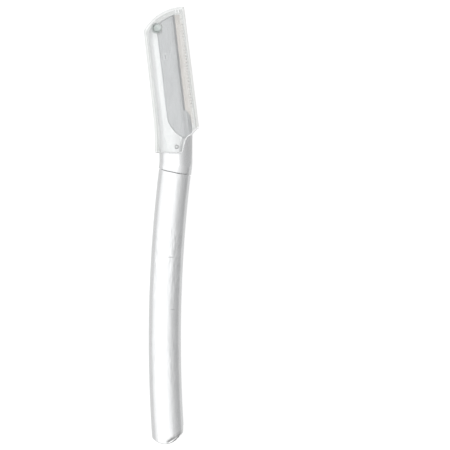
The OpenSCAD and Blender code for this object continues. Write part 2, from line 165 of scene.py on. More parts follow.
# ---------------------------------------------------------------- materials
class Mat:
    """A small helper round one node tree."""

    def __init__(self, name):
        self.m = bpy.data.materials.new(name)
        self.m.use_nodes = True
        self.t = self.m.node_tree
        self.t.nodes.clear()
        self.out = self.node("ShaderNodeOutputMaterial")
        self.bsdf = self.node("ShaderNodeBsdfPrincipled")
        self.wire(self.bsdf.outputs[0], self.out.inputs["Surface"])

    def node(self, kind, **props):
        n = self.t.nodes.new(kind)
        for k, v in props.items():
            setattr(n, k, v)
        return n

    def wire(self, a, b):
        self.t.links.new(a, b)

    def put(self, **sockets):
        for k, v in sockets.items():
            self.bsdf.inputs[k.replace("_", " ")].default_value = v

    def coords(self, source="Object", rot=0.0, scale=(1, 1, 1), uv=None):
        if uv:
            tc = self.node("ShaderNodeUVMap", uv_map=uv)
            out = tc.outputs[0]
        else:
            tc = self.node("ShaderNodeTexCoord")
            out = tc.outputs[source]
        mp = self.node("ShaderNodeMapping")
        mp.inputs["Rotation"].default_value = (0, 0, rot)
        mp.inputs["Scale"].default_value = scale
        self.wire(out, mp.inputs[0])
        return mp.outputs[0]

    def noise(self, vec, scale, detail=4.0, rough=0.55):
        n = self.node("ShaderNodeTexNoise")
        n.inputs["Scale"].default_value = scale
        n.inputs["Detail"].default_value = detail
        n.inputs["Roughness"].default_value = rough
        self.wire(vec, n.inputs["Vector"])
        return n.outputs["Fac"]

    def rng(self, fac, lo, hi, a=0.3, b=0.7):
        n = self.node("ShaderNodeMapRange")
        n.inputs["From Min"].default_value = a
        n.inputs["From Max"].default_value = b
        n.inputs["To Min"].default_value = lo
        n.inputs["To Max"].default_value = hi
        self.wire(fac, n.inputs["Value"])
        return n.outputs[0]

    def mix(self, fac, c1, c2):
        n = self.node("ShaderNodeMix", data_type="RGBA")
        self.wire(fac, n.inputs[0])
        n.inputs[6].default_value = (*c1, 1)
        n.inputs[7].default_value = (*c2, 1)
        return n.outputs[2]

    def bump(self, height, strength, dist=0.00002, chain=None):
        n = self.node("ShaderNodeBump")
        n.inputs["Strength"].default_value = strength
        n.inputs["Distance"].default_value = dist
        self.wire(height, n.inputs["Height"])
        if chain:
            self.wire(chain, n.inputs["Normal"])
        return n.outputs[0]


def satin_metal(name, base, rough, uv=None, rot=-LEAN, grain=1.0, cloud=0.012, wave=0.0, marks=()):
    """Satin plated metal: fine lines along the piece, faint clouding, a slow waviness, and a roughness that varies."""
    m = Mat(name)
    if uv:
        lines = m.coords(uv=uv, scale=(240, 8, 1))
        soft = m.coords(uv=uv, scale=(16, 7, 1))
        fine = m.coords(uv=uv, scale=(900, 140, 1))
        slow = m.coords(uv=uv, scale=(34, 11, 1))
    else:
        lines = m.coords(rot=rot, scale=(6000, 200, 6000))
        soft = m.coords(rot=rot, scale=(420, 160, 420))
        fine = m.coords(rot=rot, scale=(16000, 5000, 16000))
        slow = m.coords(rot=rot, scale=(700, 240, 700))
    n_lines = m.noise(lines, 1.0, 3, 0.6)
    n_soft = m.noise(soft, 1.0, 3, 0.5)
    n_fine = m.noise(fine, 1.0, 2, 0.5)
    lo = [max(c - cloud, 0) for c in base]
    hi = [min(c + cloud, 1) for c in base]
    m.wire(m.mix(m.rng(n_soft, 0, 1), lo, hi), m.bsdf.inputs["Base Color"])
    m.wire(m.rng(n_lines, rough - 0.04 * grain, rough + 0.05 * grain), m.bsdf.inputs["Roughness"])
    last = m.bump(n_lines, 0.08 * grain, 0.00001)
    last = m.bump(n_fine, 0.02 * grain, 0.000006, last)
    if wave:
        hills = m.noise(slow, 1.0, 2, 0.4)
        if uv:
            where = m.rng(m.noise(m.coords(uv=uv, scale=(0.4, 1.7, 1)), 1.0, 1, 0.5), 0.25, 1.0, 0.42, 0.62)
            prod = m.node("ShaderNodeMath", operation="MULTIPLY")
            m.wire(hills, prod.inputs[0])
            m.wire(where, prod.inputs[1])
            hills = prod.outputs[0]
        last = m.bump(hills, wave, 0.0003, last)
    for u0, v0, du, dv, tone in marks:        # short worn marks across the surface
        sep = m.node("ShaderNodeSeparateXYZ")
        m.wire(m.coords(uv=uv), sep.inputs[0])
        both = []
        for k, c, d in ((0, u0, du), (1, v0, dv)):
            off = m.node("ShaderNodeMath", operation="SUBTRACT")
            m.wire(sep.outputs[k], off.inputs[0])
            off.inputs[1].default_value = c
            size = m.node("ShaderNodeMath", operation="ABSOLUTE")
            m.wire(off.outputs[0], size.inputs[0])
            both.append(m.rng(size.outputs[0], 1.0, 0.0, d * 0.3, d))
        prod = m.node("ShaderNodeMath", operation="MULTIPLY")
        m.wire(both[0], prod.inputs[0])
        m.wire(both[1], prod.inputs[1])
        worn = m.node("ShaderNodeMix", data_type="RGBA")
        m.wire(prod.outputs[0], worn.inputs[0])
        m.wire(m.bsdf.inputs["Base Color"].links[0].from_socket, worn.inputs[6])
        worn.inputs[7].default_value = (*[c * tone for c in base], 1)
        m.wire(worn.outputs[2], m.bsdf.inputs["Base Color"])
    m.wire(last, m.bsdf.inputs["Normal"])
    m.put(Metallic=1.0)
    return m


HEAD_0 = (HEAD_P[0] * COS + HEAD_P[1] * SIN, HEAD_P[1] * COS - HEAD_P[0] * SIN)     # the head's origin, turned by its lean


def stem_metal():
    """The stem's satin plating with two short worn marks; on the lower right its end is painted with a dark line of
    painted shade inside a lighter rim of painted highlight.
    """
    m = satin_metal("satin_stem", (0.560, 0.563, 0.566), 0.23, uv="grain", wave=0.42,
                    marks=((0.1396, -0.2725, 0.030, 0.0075, 0.72), (0.173, -0.7225, 0.026, 0.008, 0.84)))
    off = m.node("ShaderNodeVectorMath", operation="SUBTRACT")
    m.wire(m.coords(), off.inputs[0])
    off.inputs[1].default_value = (END_P[0] * MM, END_P[1] * MM, 0)
    out = m.node("ShaderNodeVectorMath", operation="DOT_PRODUCT")
    m.wire(off.outputs[0], out.inputs[0])
    out.inputs[1].default_value = (0.55, -0.835, 0)
    along = m.node("ShaderNodeVectorMath", operation="DOT_PRODUCT")
    m.wire(off.outputs[0], along.inputs[0])
    along.inputs[1].default_value = (0.835, 0.55, 0)
    # painted shade and painted highlight at the lower right end: a dark painted shadow line inside a painted bright rim
    tone = m.node("ShaderNodeMix", data_type="RGBA")
    m.wire(m.rng(along.outputs["Value"], 0.0, 1.0, -0.6 * MM, 0.7 * MM), tone.inputs[0])
    for slot, stops in ((6, ((4.2, 0.56), (4.75, 0.44), (4.95, 0.21), (5.45, 0.20), (5.8, 0.78), (6.2, 1.0))),
                        (7, ((4.2, 0.56), (4.6, 0.50), (5.0, 0.50), (5.2, 0.40), (5.45, 0.40), (5.8, 0.80), (6.2, 0.95)))):
        ramp = m.node("ShaderNodeValToRGB")
        m.wire(m.rng(out.outputs["Value"], 0.0, 1.0, 4.2 * MM, 6.2 * MM), ramp.inputs[0])
        set_ramp(ramp.color_ramp, [((d - 4.2) / 2.0, grey(k)) for d, k in stops], "LINEAR")
        m.wire(ramp.outputs[0], tone.inputs[slot])
    rim = m.node("ShaderNodeMix", data_type="RGBA")
    where = m.node("ShaderNodeMath", operation="MULTIPLY")
    m.wire(m.rng(out.outputs["Value"], 0.0, 1.0, 4.2 * MM, 4.4 * MM), where.inputs[0])
    m.wire(m.rng(along.outputs["Value"], 0.0, 1.0, -3.3 * MM, -2.3 * MM), where.inputs[1])
    m.wire(where.outputs[0], rim.inputs[0])
    m.wire(m.bsdf.inputs["Base Color"].links[0].from_socket, rim.inputs[6])
    m.wire(tone.outputs[2], rim.inputs[7])
    m.wire(rim.outputs[2], m.bsdf.inputs["Base Color"])
    return m


def cast_head():
    """The head's casting, its neck satin like the stem; its flank beside the bright cover is painted lighter, a painted
    highlight on that side.
    """
    m = satin_metal("satin_head", (0.560, 0.563, 0.566), 0.27, wave=0.03)
    sep = m.node("ShaderNodeSeparateXYZ")
    m.wire(m.coords(rot=-LEAN), sep.inputs[0])
    left = m.rng(sep.outputs[0], 0.0, 1.0, (HEAD_0[0] - 4.3) * MM, (HEAD_0[0] - 4.7) * MM)
    above = m.rng(sep.outputs[1], 0.0, 1.0, (HEAD_0[1] - 5.0) * MM, (HEAD_0[1] - 3.5) * MM)
    where = m.node("ShaderNodeMath", operation="MULTIPLY")
    m.wire(left, where.inputs[0])
    m.wire(above, where.inputs[1])
    # painted highlight: the flank beside the cover is painted lighter than the rest of the casting
    bright = m.node("ShaderNodeMix", data_type="RGBA")
    m.wire(where.outputs[0], bright.inputs[0])
    m.wire(m.bsdf.inputs["Base Color"].links[0].from_socket, bright.inputs[6])
    bright.inputs[7].default_value = (0.745, 0.743, 0.755, 1)
    m.wire(bright.outputs[2], m.bsdf.inputs["Base Color"])
    return m


def rivet_metal():
    """The toe rivet's darker steel, painted lighter on the side away from the spine, a painted highlight against the
    darker rest.
    """
    m = satin_metal("dark_rivet", (0.425, 0.462, 0.448), 0.32, grain=0.6)
    sep = m.node("ShaderNodeSeparateXYZ")
    m.wire(m.coords(rot=-LEAN), sep.inputs[0])
    total = m.node("ShaderNodeMath", operation="ADD")
    m.wire(sep.outputs[0], total.inputs[0])
    m.wire(sep.outputs[1], total.inputs[1])
    mid = HEAD_0[0] - 2.1 + HEAD_0[1] + 37.6
    # painted highlight on the rivet's upper right side
    painted_highlight_mix = m.node("ShaderNodeMix", data_type="RGBA")
    m.wire(m.rng(total.outputs[0], 0.0, 1.0, (mid + 0.2) * MM, (mid + 1.5) * MM), painted_highlight_mix.inputs[0])
    m.wire(m.bsdf.inputs["Base Color"].links[0].from_socket, painted_highlight_mix.inputs[6])
    painted_highlight_mix.inputs[7].default_value = (0.57, 0.60, 0.592, 1)
    m.wire(painted_highlight_mix.outputs[2], m.bsdf.inputs["Base Color"])
    return m


def flap_metal():
    """The flap's brushed plate with painted light: a painted highlight along the step beside the cover, painted shade
    towards the free edge.
    """
    m = satin_metal("satin_flap", (0.713, 0.716, 0.732), 0.31, grain=1.3, cloud=0.017, wave=0.008)
    sep = m.node("ShaderNodeSeparateXYZ")
    m.wire(m.coords(rot=-LEAN), sep.inputs[0])
    # painted highlight along the step by the cover and painted shade towards the free edge, across the plate
    ramp = m.node("ShaderNodeValToRGB")
    m.wire(m.rng(sep.outputs[0], 0.0, 1.0, (HEAD_0[0] - 2.1) * MM, (HEAD_0[0] + 5.7) * MM), ramp.inputs[0])
    set_ramp(ramp.color_ramp, [((u + 2.1) / 7.8, grey(k)) for u, k in
                               ((-2.1, 1.0), (-1.88, 0.92), (-1.74, 0.73), (-1.2, 0.69), (2.6, 0.69), (3.6, 0.60), (4.0, 0.62),
                                (4.6, 0.70), (5.7, 0.70))], "LINEAR")
    both = m.node("ShaderNodeMix", data_type="RGBA", blend_type="MULTIPLY")
    both.inputs[0].default_value = 1.0
    m.wire(m.bsdf.inputs["Base Color"].links[0].from_socket, both.inputs[6])
    m.wire(ramp.outputs[0], both.inputs[7])
    # the small notch is painted a little lighter than the plate, a painted highlight
    near_notch = []
    for axis, mid, half in ((0, -0.25, 0.65), (1, 27.5, 1.3)):
        off = m.node("ShaderNodeMath", operation="SUBTRACT")
        m.wire(sep.outputs[axis], off.inputs[0])
        off.inputs[1].default_value = (HEAD_0[axis] + mid) * MM
        size = m.node("ShaderNodeMath", operation="ABSOLUTE")
        m.wire(off.outputs[0], size.inputs[0])
        near_notch.append(m.rng(size.outputs[0], 1.0, 0.0, half * 0.7 * MM, half * MM))
    notch = m.node("ShaderNodeMath", operation="MULTIPLY")
    m.wire(near_notch[0], notch.inputs[0])
    m.wire(near_notch[1], notch.inputs[1])
    painted_highlight_mix = m.node("ShaderNodeMix", data_type="RGBA")
    m.wire(notch.outputs[0], painted_highlight_mix.inputs[0])
    m.wire(both.outputs[2], painted_highlight_mix.inputs[6])
    painted_highlight_mix.inputs[7].default_value = (0.60, 0.602, 0.613, 1)
    m.wire(painted_highlight_mix.outputs[2], m.bsdf.inputs["Base Color"])
    return m


def cover_metal():
    """The bright cover with painted shade: darker at the toe, and over the neck towards the right up to the rolled
    edge.
    """
    m = satin_metal("satin_cover", (0.765, 0.765, 0.772), 0.33, wave=0.012)
    sep = m.node("ShaderNodeSeparateXYZ")
    m.wire(m.coords(rot=-LEAN), sep.inputs[0])
    part = m.node("ShaderNodeMath", operation="MULTIPLY")
    m.wire(m.rng(sep.outputs[0], 0.0, 1.0, (HEAD_0[0] - 1.2) * MM, (HEAD_0[0] + 2.2) * MM), part.inputs[0])
    m.wire(m.rng(sep.outputs[0], 1.0, 0.0, (HEAD_0[0] + 1.5) * MM, (HEAD_0[0] + 1.85) * MM), part.inputs[1])
    where = m.node("ShaderNodeMath", operation="MULTIPLY")
    m.wire(part.outputs[0], where.inputs[0])
    m.wire(m.rng(sep.outputs[1], 0.0, 1.0, (HEAD_0[1] + 2.0) * MM, (HEAD_0[1] - 1.5) * MM), where.inputs[1])
    most = m.node("ShaderNodeMath", operation="MAXIMUM")
    m.wire(where.outputs[0], most.inputs[0])
    m.wire(m.rng(sep.outputs[1], 0.0, 1.0, (HEAD_0[1] + 33.0) * MM, (HEAD_0[1] + 36.5) * MM), most.inputs[1])
    # painted shade at the toe and over the neck towards the right
    painted_shade_mix = m.node("ShaderNodeMix", data_type="RGBA")
    m.wire(most.outputs[0], painted_shade_mix.inputs[0])
    m.wire(m.bsdf.inputs["Base Color"].links[0].from_socket, painted_shade_mix.inputs[6])
    painted_shade_mix.inputs[7].default_value = (0.585, 0.583, 0.59, 1)
    m.wire(painted_shade_mix.outputs[2], m.bsdf.inputs["Base Color"])
    return m


def blade_steel():
    """Strip steel with a slightly warm cast; towards the edge a ground band with lines across it."""
    m = satin_metal("ground_blade", (0.530, 0.500, 0.480), 0.30, grain=1.3, cloud=0.02)
    sep = m.node("ShaderNodeSeparateXYZ")
    m.wire(m.coords(rot=-LEAN), sep.inputs[0])
    start = (HEAD_0[0] + 6.2) * MM
    band = m.rng(sep.outputs[0], 0.0, 1.0, start - 0.00002, start + 0.00004)
    across = m.noise(m.coords(rot=-LEAN, scale=(900, 15000, 900)), 1.0, 3, 0.6)
    old = m.bsdf.inputs["Base Color"].links[0].from_socket
    mixed = m.node("ShaderNodeMix", data_type="RGBA")
    m.wire(band, mixed.inputs[0])
    m.wire(old, mixed.inputs[6])
    m.wire(m.mix(m.rng(across, 0, 1), (0.635, 0.617, 0.605), (0.735, 0.717, 0.705)), mixed.inputs[7])
    m.wire(mixed.outputs[2], m.bsdf.inputs["Base Color"])
    rough = m.node("ShaderNodeMix", data_type="FLOAT")
    m.wire(band, rough.inputs[0])
    m.wire(m.bsdf.inputs["Roughness"].links[0].from_socket, rough.inputs[2])
    m.wire(m.rng(across, 0.20, 0.34), rough.inputs[3])
    m.wire(rough.outputs[0], m.bsdf.inputs["Roughness"])
    return m


mat_stem = stem_metal().m
mat_head = cast_head().m
mat_cover = cover_metal().m
mat_flap = flap_metal().m
mat_rivet = rivet_metal().m
mat_rivet2 = satin_metal("small_rivet", (0.57, 0.572, 0.576), 0.34, grain=0.6).m
mat_pin = satin_metal("drawn_pin", (0.50, 0.50, 0.51), 0.3).m
mat_spring = satin_metal("spring_strip", (0.40, 0.40, 0.42), 0.3).m
mat_blade = blade_steel().m
mat_guard = satin_metal("folded_guard", (0.580, 0.553, 0.537), 0.34).m
mat_plug = satin_metal("plug_face", (0.50, 0.50, 0.51), 0.36, grain=0.7).m


def clear_plastic(name, haze, haze_col, tint, dark_tint, rough=(0.04, 0.09), mirror=0.5, side=None, toe=None, left=None, edge=None):
    """Clear moulded plastic with thin walls: tinted see-through that deepens towards grazing angles, where the light's way
    through the wall is longer, a mirror that grows towards them too, and a little haze from fine scuffs."""
    m = Mat(name)
    m.t.nodes.remove(m.bsdf)
    soft = m.noise(m.coords(rot=-LEAN, scale=(300, 110, 300)), 1.0, 3, 0.5)
    fine = m.noise(m.coords(rot=-LEAN, scale=(5200, 700, 5200)), 1.0, 4, 0.65)
    wavy = m.bump(soft, 0.12, 0.0001)
    layer = m.node("ShaderNodeLayerWeight")
    layer.inputs["Blend"].default_value = 0.5
    m.wire(wavy, layer.inputs["Normal"])
    power = m.node("ShaderNodeMath", operation="POWER")
    m.wire(layer.outputs["Facing"], power.inputs[0])
    power.inputs[1].default_value = 4.0
    clear = m.node("ShaderNodeBsdfTransparent")
    deep = m.node("ShaderNodeMix", data_type="RGBA")
    m.wire(layer.outputs["Facing"], deep.inputs[0])
    m.wire(m.mix(m.rng(soft, 0, 1), [c - 0.008 for c in tint], [min(c + 0.008, 1) for c in tint]), deep.inputs[6])
    deep.inputs[7].default_value = (*dark_tint, 1)
    tone = deep.outputs[2]
    # the tint is deepened towards the blade's side, a painted shadow of the head there, and a little at the toe and on
    # the left wall
    start = HEAD_0
    for axis, lo, hi, col in ((0, *side[0], side[1]) if side else (0, 0, 1, None), (0, -5.5, -6.0, left), (1, 38.6, 40.6, toe)):
        if not col:
            continue
        sep = m.node("ShaderNodeSeparateXYZ")
        m.wire(m.coords(rot=-LEAN), sep.inputs[0])
        where = m.rng(sep.outputs[axis], 0.0, 1.0, (start[axis] + lo) * MM, (start[axis] + hi) * MM)
        down = m.node("ShaderNodeMix", data_type="RGBA", blend_type="MULTIPLY")
        m.wire(where, down.inputs[0])
        m.wire(tone, down.inputs[6])
        down.inputs[7].default_value = (*col, 1)
        tone = down.outputs[2]
    m.wire(tone, clear.inputs[0])
    gloss = m.node("ShaderNodeBsdfGlossy")
    gloss.inputs["Color"].default_value = (1, 1, 1, 1)
    m.wire(m.rng(fine, *rough), gloss.inputs["Roughness"])
    m.wire(wavy, gloss.inputs["Normal"])
    mix1 = m.node("ShaderNodeMixShader")
    m.wire(m.rng(power.outputs[0], 0.03, mirror, 0.0, 1.0), mix1.inputs[0])
    m.wire(clear.outputs[0], mix1.inputs[1])
    m.wire(gloss.outputs[0], mix1.inputs[2])
    milk = m.node("ShaderNodeBsdfDiffuse")
    milk.inputs["Color"].default_value = (*haze_col, 1)
    if edge:            # the slanted part of the mouth's rim is painted lighter than its straight part, a painted highlight along the slanted edge
        sep = m.node("ShaderNodeSeparateXYZ")
        m.wire(m.coords(rot=-LEAN), sep.inputs[0])
        m.wire(m.mix(m.rng(sep.outputs[0], 0.0, 1.0, (start[0] + 0.9) * MM, (start[0] + 1.5) * MM), edge, haze_col), milk.inputs["Color"])
    mix2 = m.node("ShaderNodeMixShader")
    m.wire(m.rng(fine, haze * 0.75, haze * 1.25), mix2.inputs[0])
    m.wire(mix1.outputs[0], mix2.inputs[1])
    m.wire(milk.outputs[0], mix2.inputs[2])
    m.wire(mix2.outputs[0], m.out.inputs["Surface"])
    return m.m


# side: a painted shadow of the head on the blade's side of the cap
mat_clear = clear_plastic("clear_plastic", 0.02, (0.72, 0.725, 0.72), (0.940, 0.943, 0.941), (0.84, 0.85, 0.845), mirror=0.35, toe=(0.97, 0.97, 0.97),
                          side=((7.3, 7.9), (0.90, 0.90, 0.895)), left=(0.94, 0.943, 0.94))
# the inside faces are tinted deeper than the outside: painted shade in the cavity, with more painted shadow on the
# blade's side
mat_inner = clear_plastic("clear_plastic_inside", 0.02, (0.62, 0.625, 0.62), (0.885, 0.889, 0.886), (0.76, 0.77, 0.765), mirror=0.3, side=((7.15, 7.35), (0.95, 0.948, 0.943)))
mat_wall = clear_plastic("clear_plastic_side", 0.02, (0.72, 0.725, 0.72), (0.985, 0.988, 0.986), (0.86, 0.87, 0.865), mirror=0.35)
# the mouth's rim is milky, with a painted highlight along its slanted part
mat_rim = clear_plastic("clear_plastic_rim", 0.80, (0.98, 0.983, 0.98), (0.94, 0.945, 0.94), (0.90, 0.905, 0.90), (0.2, 0.3), mirror=0.12,
                        edge=(0.72, 0.725, 0.72))


# ---------------------------------------------------------------- mesh helpers
def new_object(name, bm, mats=(), smooth=True, angle=32):
    me = bpy.data.meshes.new(name)
    bm.to_mesh(me)
    bm.free()
    for m in mats:
        me.materials.append(m)
    ob = bpy.data.objects.new(name, me)
    scene.collection.objects.link(ob)
    if smooth:
        for p in me.polygons:
            p.use_smooth = True
        me.set_sharp_from_angle(angle=math.radians(angle))
    return ob


def apply_modifiers(ob):
    """Replaces the mesh with its evaluated form, so that nothing is left on the piece."""
    bpy.context.view_layer.update()
    deps = bpy.context.evaluated_depsgraph_get()
    me = bpy.data.meshes.new_from_object(ob.evaluated_get(deps), preserve_all_data_layers=True, depsgraph=deps)
    old = ob.data
    ob.modifiers.clear()
    ob.data = me
    me.name = ob.name
    bpy.data.meshes.remove(old)


def oval_ring(g, w=11.15, t=7.2, r=2.9, n_face=18, n_side=22):
    """The stem's oval, smaller by g, as (across, up) points in order of the direction of their normal."""
    side_c, rise = w / 2 - r, t / 2 - r
    drop = (side_c ** 2 - rise ** 2) / (2 * rise)
    face_r = drop + t / 2
    phi = math.asin(side_c / (face_r - r))
    pts = []
    for k in range(4):
        if k % 2 == 0:      # faces: front, back
            s = 1 if k == 0 else -1
            for i in range(n_face):
                a = -phi + 2 * phi * i / n_face
                pts.append((s * (face_r - g) * math.sin(a), s * ((face_r - g) * math.cos(a) - drop)))
        else:
            s = 1 if k == 1 else -1
            for i in range(n_side):
                a = phi + (math.pi - 2 * phi) * i / n_side
                pts.append((s * (side_c + (r - g) * math.sin(a)), s * (r - g) * math.cos(a)))
    return pts


def inset_point(x, z, g, w=11.15, t=7.2, r=2.9):
    """A point of the oval moved inwards by g along its normal."""
    side_c, rise = w / 2 - r, t / 2 - r
    drop = (side_c ** 2 - rise ** 2) / (2 * rise)
    phi = math.asin(side_c / (drop + t / 2 - r))
    cz = -math.copysign(drop, z)
    a = math.atan2(abs(x), abs(z - cz))
    if a <= phi + 1e-9:
        d = math.hypot(x, z - cz)
        return x - g * x / d, z - g * (z - cz) / d
    cx = math.copysign(side_c, x)
    d = math.hypot(x - cx, z)
    return x - g * (x - cx) / d, z - g * z / d


def grip_point(w, z, a):
    r = ARC_R - w
    return Vector((ARC_C[0] - r * math.cos(a), ARC_C[1] + r * math.sin(a), SHIFT[2] + z)) * MM


def end_angle(w, rad):
    """Where the line at offset w meets the rounded end of radius rad."""
    r = ARC_R - w
    lo, hi = math.radians(-6.0), math.asin((END_P[1] - ARC_C[1]) / r)
    for _ in range(48):
        mid = (lo + hi) / 2
        x, y = ARC_C[0] - r * math.cos(mid) - END_P[0], ARC_C[1] + r * math.sin(mid) - END_P[1]
        if math.hypot(x, y) > rad:
            lo = mid
        else:
            hi = mid
    return hi


SEAM_Q = (ARC_C[0] - ARC_R * math.cos(GRIP_UP), ARC_C[1] + ARC_R * math.sin(GRIP_UP))
SEAM_A = math.radians(12)


def seam_angle(w, e):
    """Where the line at offset w lies e before the slanted seam."""
    r = ARC_R - w
    d = (ARC_C[0] - SEAM_Q[0]) * math.sin(SEAM_A) + (ARC_C[1] - SEAM_Q[1]) * math.cos(SEAM_A)
    return SEAM_A + math.asin((-e - d) / r)


def skin(bm, rings, closed=True, flip=False):
    """Joins rings of vertices, all of one count, into quads."""
    faces = []
    for a, b in zip(rings, rings[1:]):
        n = len(a)
        for i in range(n if closed else n - 1):
            j = (i + 1) % n
            q = (a[i], a[j], b[j], b[i])
            faces.append(bm.faces.new(q[::-1] if flip else q))
    return faces


def grip_mesh():
    """The bent tube with rolled rims, as one closed skin: outer wall, seam rim, inner wall, end rim."""
    bm = bmesh.new()
    wall, rows = 0.9, 84
    stations = []       # (inset, function giving the angle for an offset)
    rim = [(0.0, 0.30), (0.004, 0.25), (0.018, 0.19), (0.042, 0.135), (0.078, 0.085), (0.122, 0.045), (0.17, 0.018), (0.22, 0.004), (0.26, 0.0)]
    for g, e in reversed(rim):
        stations.append((g, "end", e))
    for i in range(1, rows):
        stations.append((0.0, "mid", i / rows))
    for g, e in rim:
        stations.append((g, "seam", e))
    stations.append((wall - 0.12, "seam", 0.0))
    stations.append((wall - 0.03, "seam", 0.05))
    stations.append((wall, "seam", 0.15))
    for i in range(1, 40):
        stations.append((wall, "back", i / 40))
    stations.append((wall, "end", 0.15))
    stations.append((wall - 0.03, "end", 0.05))
    stations.append((wall - 0.12, "end", 0.0))
    rings = []
    for g, kind, val in stations:
        ring = []
        for (w, z) in oval_ring(0.0):
            k = 1.0
            if kind == "end" and g < wall - 0.2:      # the end is rounded more towards the lower right
                t = max(0.0, min(1.0, (w + 1.5) / 5.5))
                k = 1.0 + 1.9 * t * t * (3 - 2 * t)
            elif kind == "mid" and g == 0:
                t = max(0.0, min(1.0, (w + 1.5) / 5.5))
                k = 1.0 + 1.9 * t * t * (3 - 2 * t)
            q = 1.0
            if kind == "seam" and g < wall - 0.2:     # the seam's rim is rounded less at the stem's sides
                t = max(0.0, min(1.0, (w - 1.4) / 2.4 if w > 0 else (-w - 3.0) / 1.8))
                q = 1.5 - 1.28 * t * t * (3 - 2 * t)
            w, z = inset_point(w, z, g * (k if kind == "end" else q))
            if kind == "end":
                a = end_angle(w, 6.55 - val * k)
            elif kind == "seam":
                a = seam_angle(w, val * q)
            else:
                a0, a1 = end_angle(w, 6.55 - (0.30 * k if g == 0 else 0.15)), seam_angle(w, 0.50 if g == 0 else 0.15)
                f = val if kind == "mid" else 1 - val
                a = a0 + (a1 - a0) * f
            ring.append(bm.verts.new(grip_point(w, z, a)))
        rings.append(ring)
    faces = skin(bm, rings + [rings[0]])
    # lengthwise grain: u round the oval, v along the stem, both in steps of equal length
    uv = bm.loops.layers.uv.new("grain")
    n = len(rings[0])
    place = {}
    per = [0.0]
    ring0 = oval_ring(0)
    for i in range(n):
        a, b = ring0[i], ring0[(i + 1) % n]
        per.append(per[-1] + math.hypot(a[0] - b[0], a[1] - b[1]))
    for r in rings:
        for i, v in enumerate(r):
            place[v] = i
    for f in faces:
        idx = [place[lp.vert] for lp in f.loops]
        wrap = max(idx) - min(idx) > 1
        for lp, i in zip(f.loops, idx):
            k = n if wrap and i == 0 else i
            lp[uv].uv = (per[k] / 40.0, lp.vert.co.y / 0.040)
    bmesh.ops.recalc_face_normals(bm, faces=bm.faces)
    return bm


grip = new_object("grip_tube_skin", grip_mesh(), [mat_stem], angle=40)
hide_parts("grip_tube")
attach(grip, "razor")

# ---------------------------------------------------------------- the cap
CAP_SIDE = [(-7.62, -9.0), (8.62, -9.0), (8.5, 2.3)]


def cap_plan(g):
    """The cap's outline, smaller by g, with its toe arc in fine steps."""
    c, r = (6.47, 27.8), 15.98 - g
    right = lambda v: (8.5 + (8.1 - 8.5) * (v - 2.3) / 47.7) - g
    v_r = c[1] + math.sqrt(r * r - (8.11 - g - c[0]) ** 2)
    u_r = right(v_r)
    u_l = -6.56 + g
    v_l = c[1] + math.sqrt(r * r - (u_l - c[0]) ** 2)
    pts = [(-7.62 + g, -9.0), (8.62 - g, -9.0), (8.5 - g, 2.3), (right(15), 15), (right(30), 30)]
    a0 = math.atan2(v_r - c[1], u_r - c[0])
    a1 = math.atan2(v_l - c[1], u_l - c[0])
    n = 48
    for i in range(n + 1):
        a = a0 + (a1 - a0) * i / n
        pts.append((c[0] + r * math.cos(a), c[1] + r * math.sin(a)))
    pts += [(-6.58 + g, 26), (-6.6 + g, 14), (-6.64 + g, 9), (-6.7 + g, 5), (-6.85 + g, 2), (-7.2 + g, -1.5), (-7.62 + g, -5.2)]
    return pts


def slab(outline, z0, z1):
    bm = bmesh.new()
    lo = [bm.verts.new((u, v, z0)) for u, v in outline]
    hi = [bm.verts.new((u, v, z1)) for u, v in outline]
    bm.faces.new(lo[::-1])
    bm.faces.new(hi)
    n = len(outline)
    for i in range(n):
        j = (i + 1) % n
        bm.faces.new((lo[i], lo[j], hi[j], hi[i]))
    return bm


def round_edges(bm, width, segments, limit=30):
    edges = [e for e in bm.edges if len(e.link_faces) == 2 and e.calc_face_angle() > math.radians(limit)]
    bmesh.ops.bevel(bm, geom=edges, offset=width, offset_type="OFFSET", segments=segments, profile=0.5,
                    affect="EDGES", clamp_overlap=True, material=-1)


MOUTH = [(-12, -4.24), (-7.6, -4.85), (1.2, -6.1), (1.75, -5.95), (2.05, -5.4), (2.35, -4.7), (2.75, -3.6), (3.35, -2.1),
         (3.85, -1.25), (4.45, -0.7), (5.2, -0.4), (5.85, 0), (6.35, 0.5), (7, 1.1), (7.7, 1.6), (8.5, 1.95), (20, 2), (20, -20),
         (-12, -20)]


def smooth_line(pts, times=2):
    """Corner cutting, which rounds a polyline and keeps its ends."""
    for _ in range(times):
        out = [pts[0]]
        for a, b in zip(pts, pts[1:]):
            out.append((a[0] * 0.75 + b[0] * 0.25, a[1] * 0.75 + b[1] * 0.25))
            out.append((a[0] * 0.25 + b[0] * 0.75, a[1] * 0.25 + b[1] * 0.75))
        out.append(pts[-1])
        pts = out
    return pts


def near_line(x, y, line):
    """Distance of a point from a polyline."""
    best = 1e9
    for (ax, ay), (bx, by) in zip(line, line[1:]):
        dx, dy = bx - ax, by - ay
        t = max(0, min(1, ((x - ax) * dx + (y - ay) * dy) / (dx * dx + dy * dy)))
        best = min(best, math.hypot(x - ax - t * dx, y - ay - t * dy))
    return best


MOUTH_LINE = [MOUTH[0]] + smooth_line(MOUTH[1:17], 2)


def boolean(ob, cutter, operation="DIFFERENCE"):
    m = ob.modifiers.new("cut", "BOOLEAN")
    m.operation = operation
    m.solver = "EXACT"
    m.object = cutter
    apply_modifiers(ob)
    bpy.data.objects.remove(cutter)


CAP_RIBS = [(u, u + 0.6, 3.5, 11.5, 2.78, 3.8) for u in (-4.2, -2.9)] + [(u, u + 0.35, 41.85, 43.25, -2.9, 3.7) for u in (4.95, 5.85)]


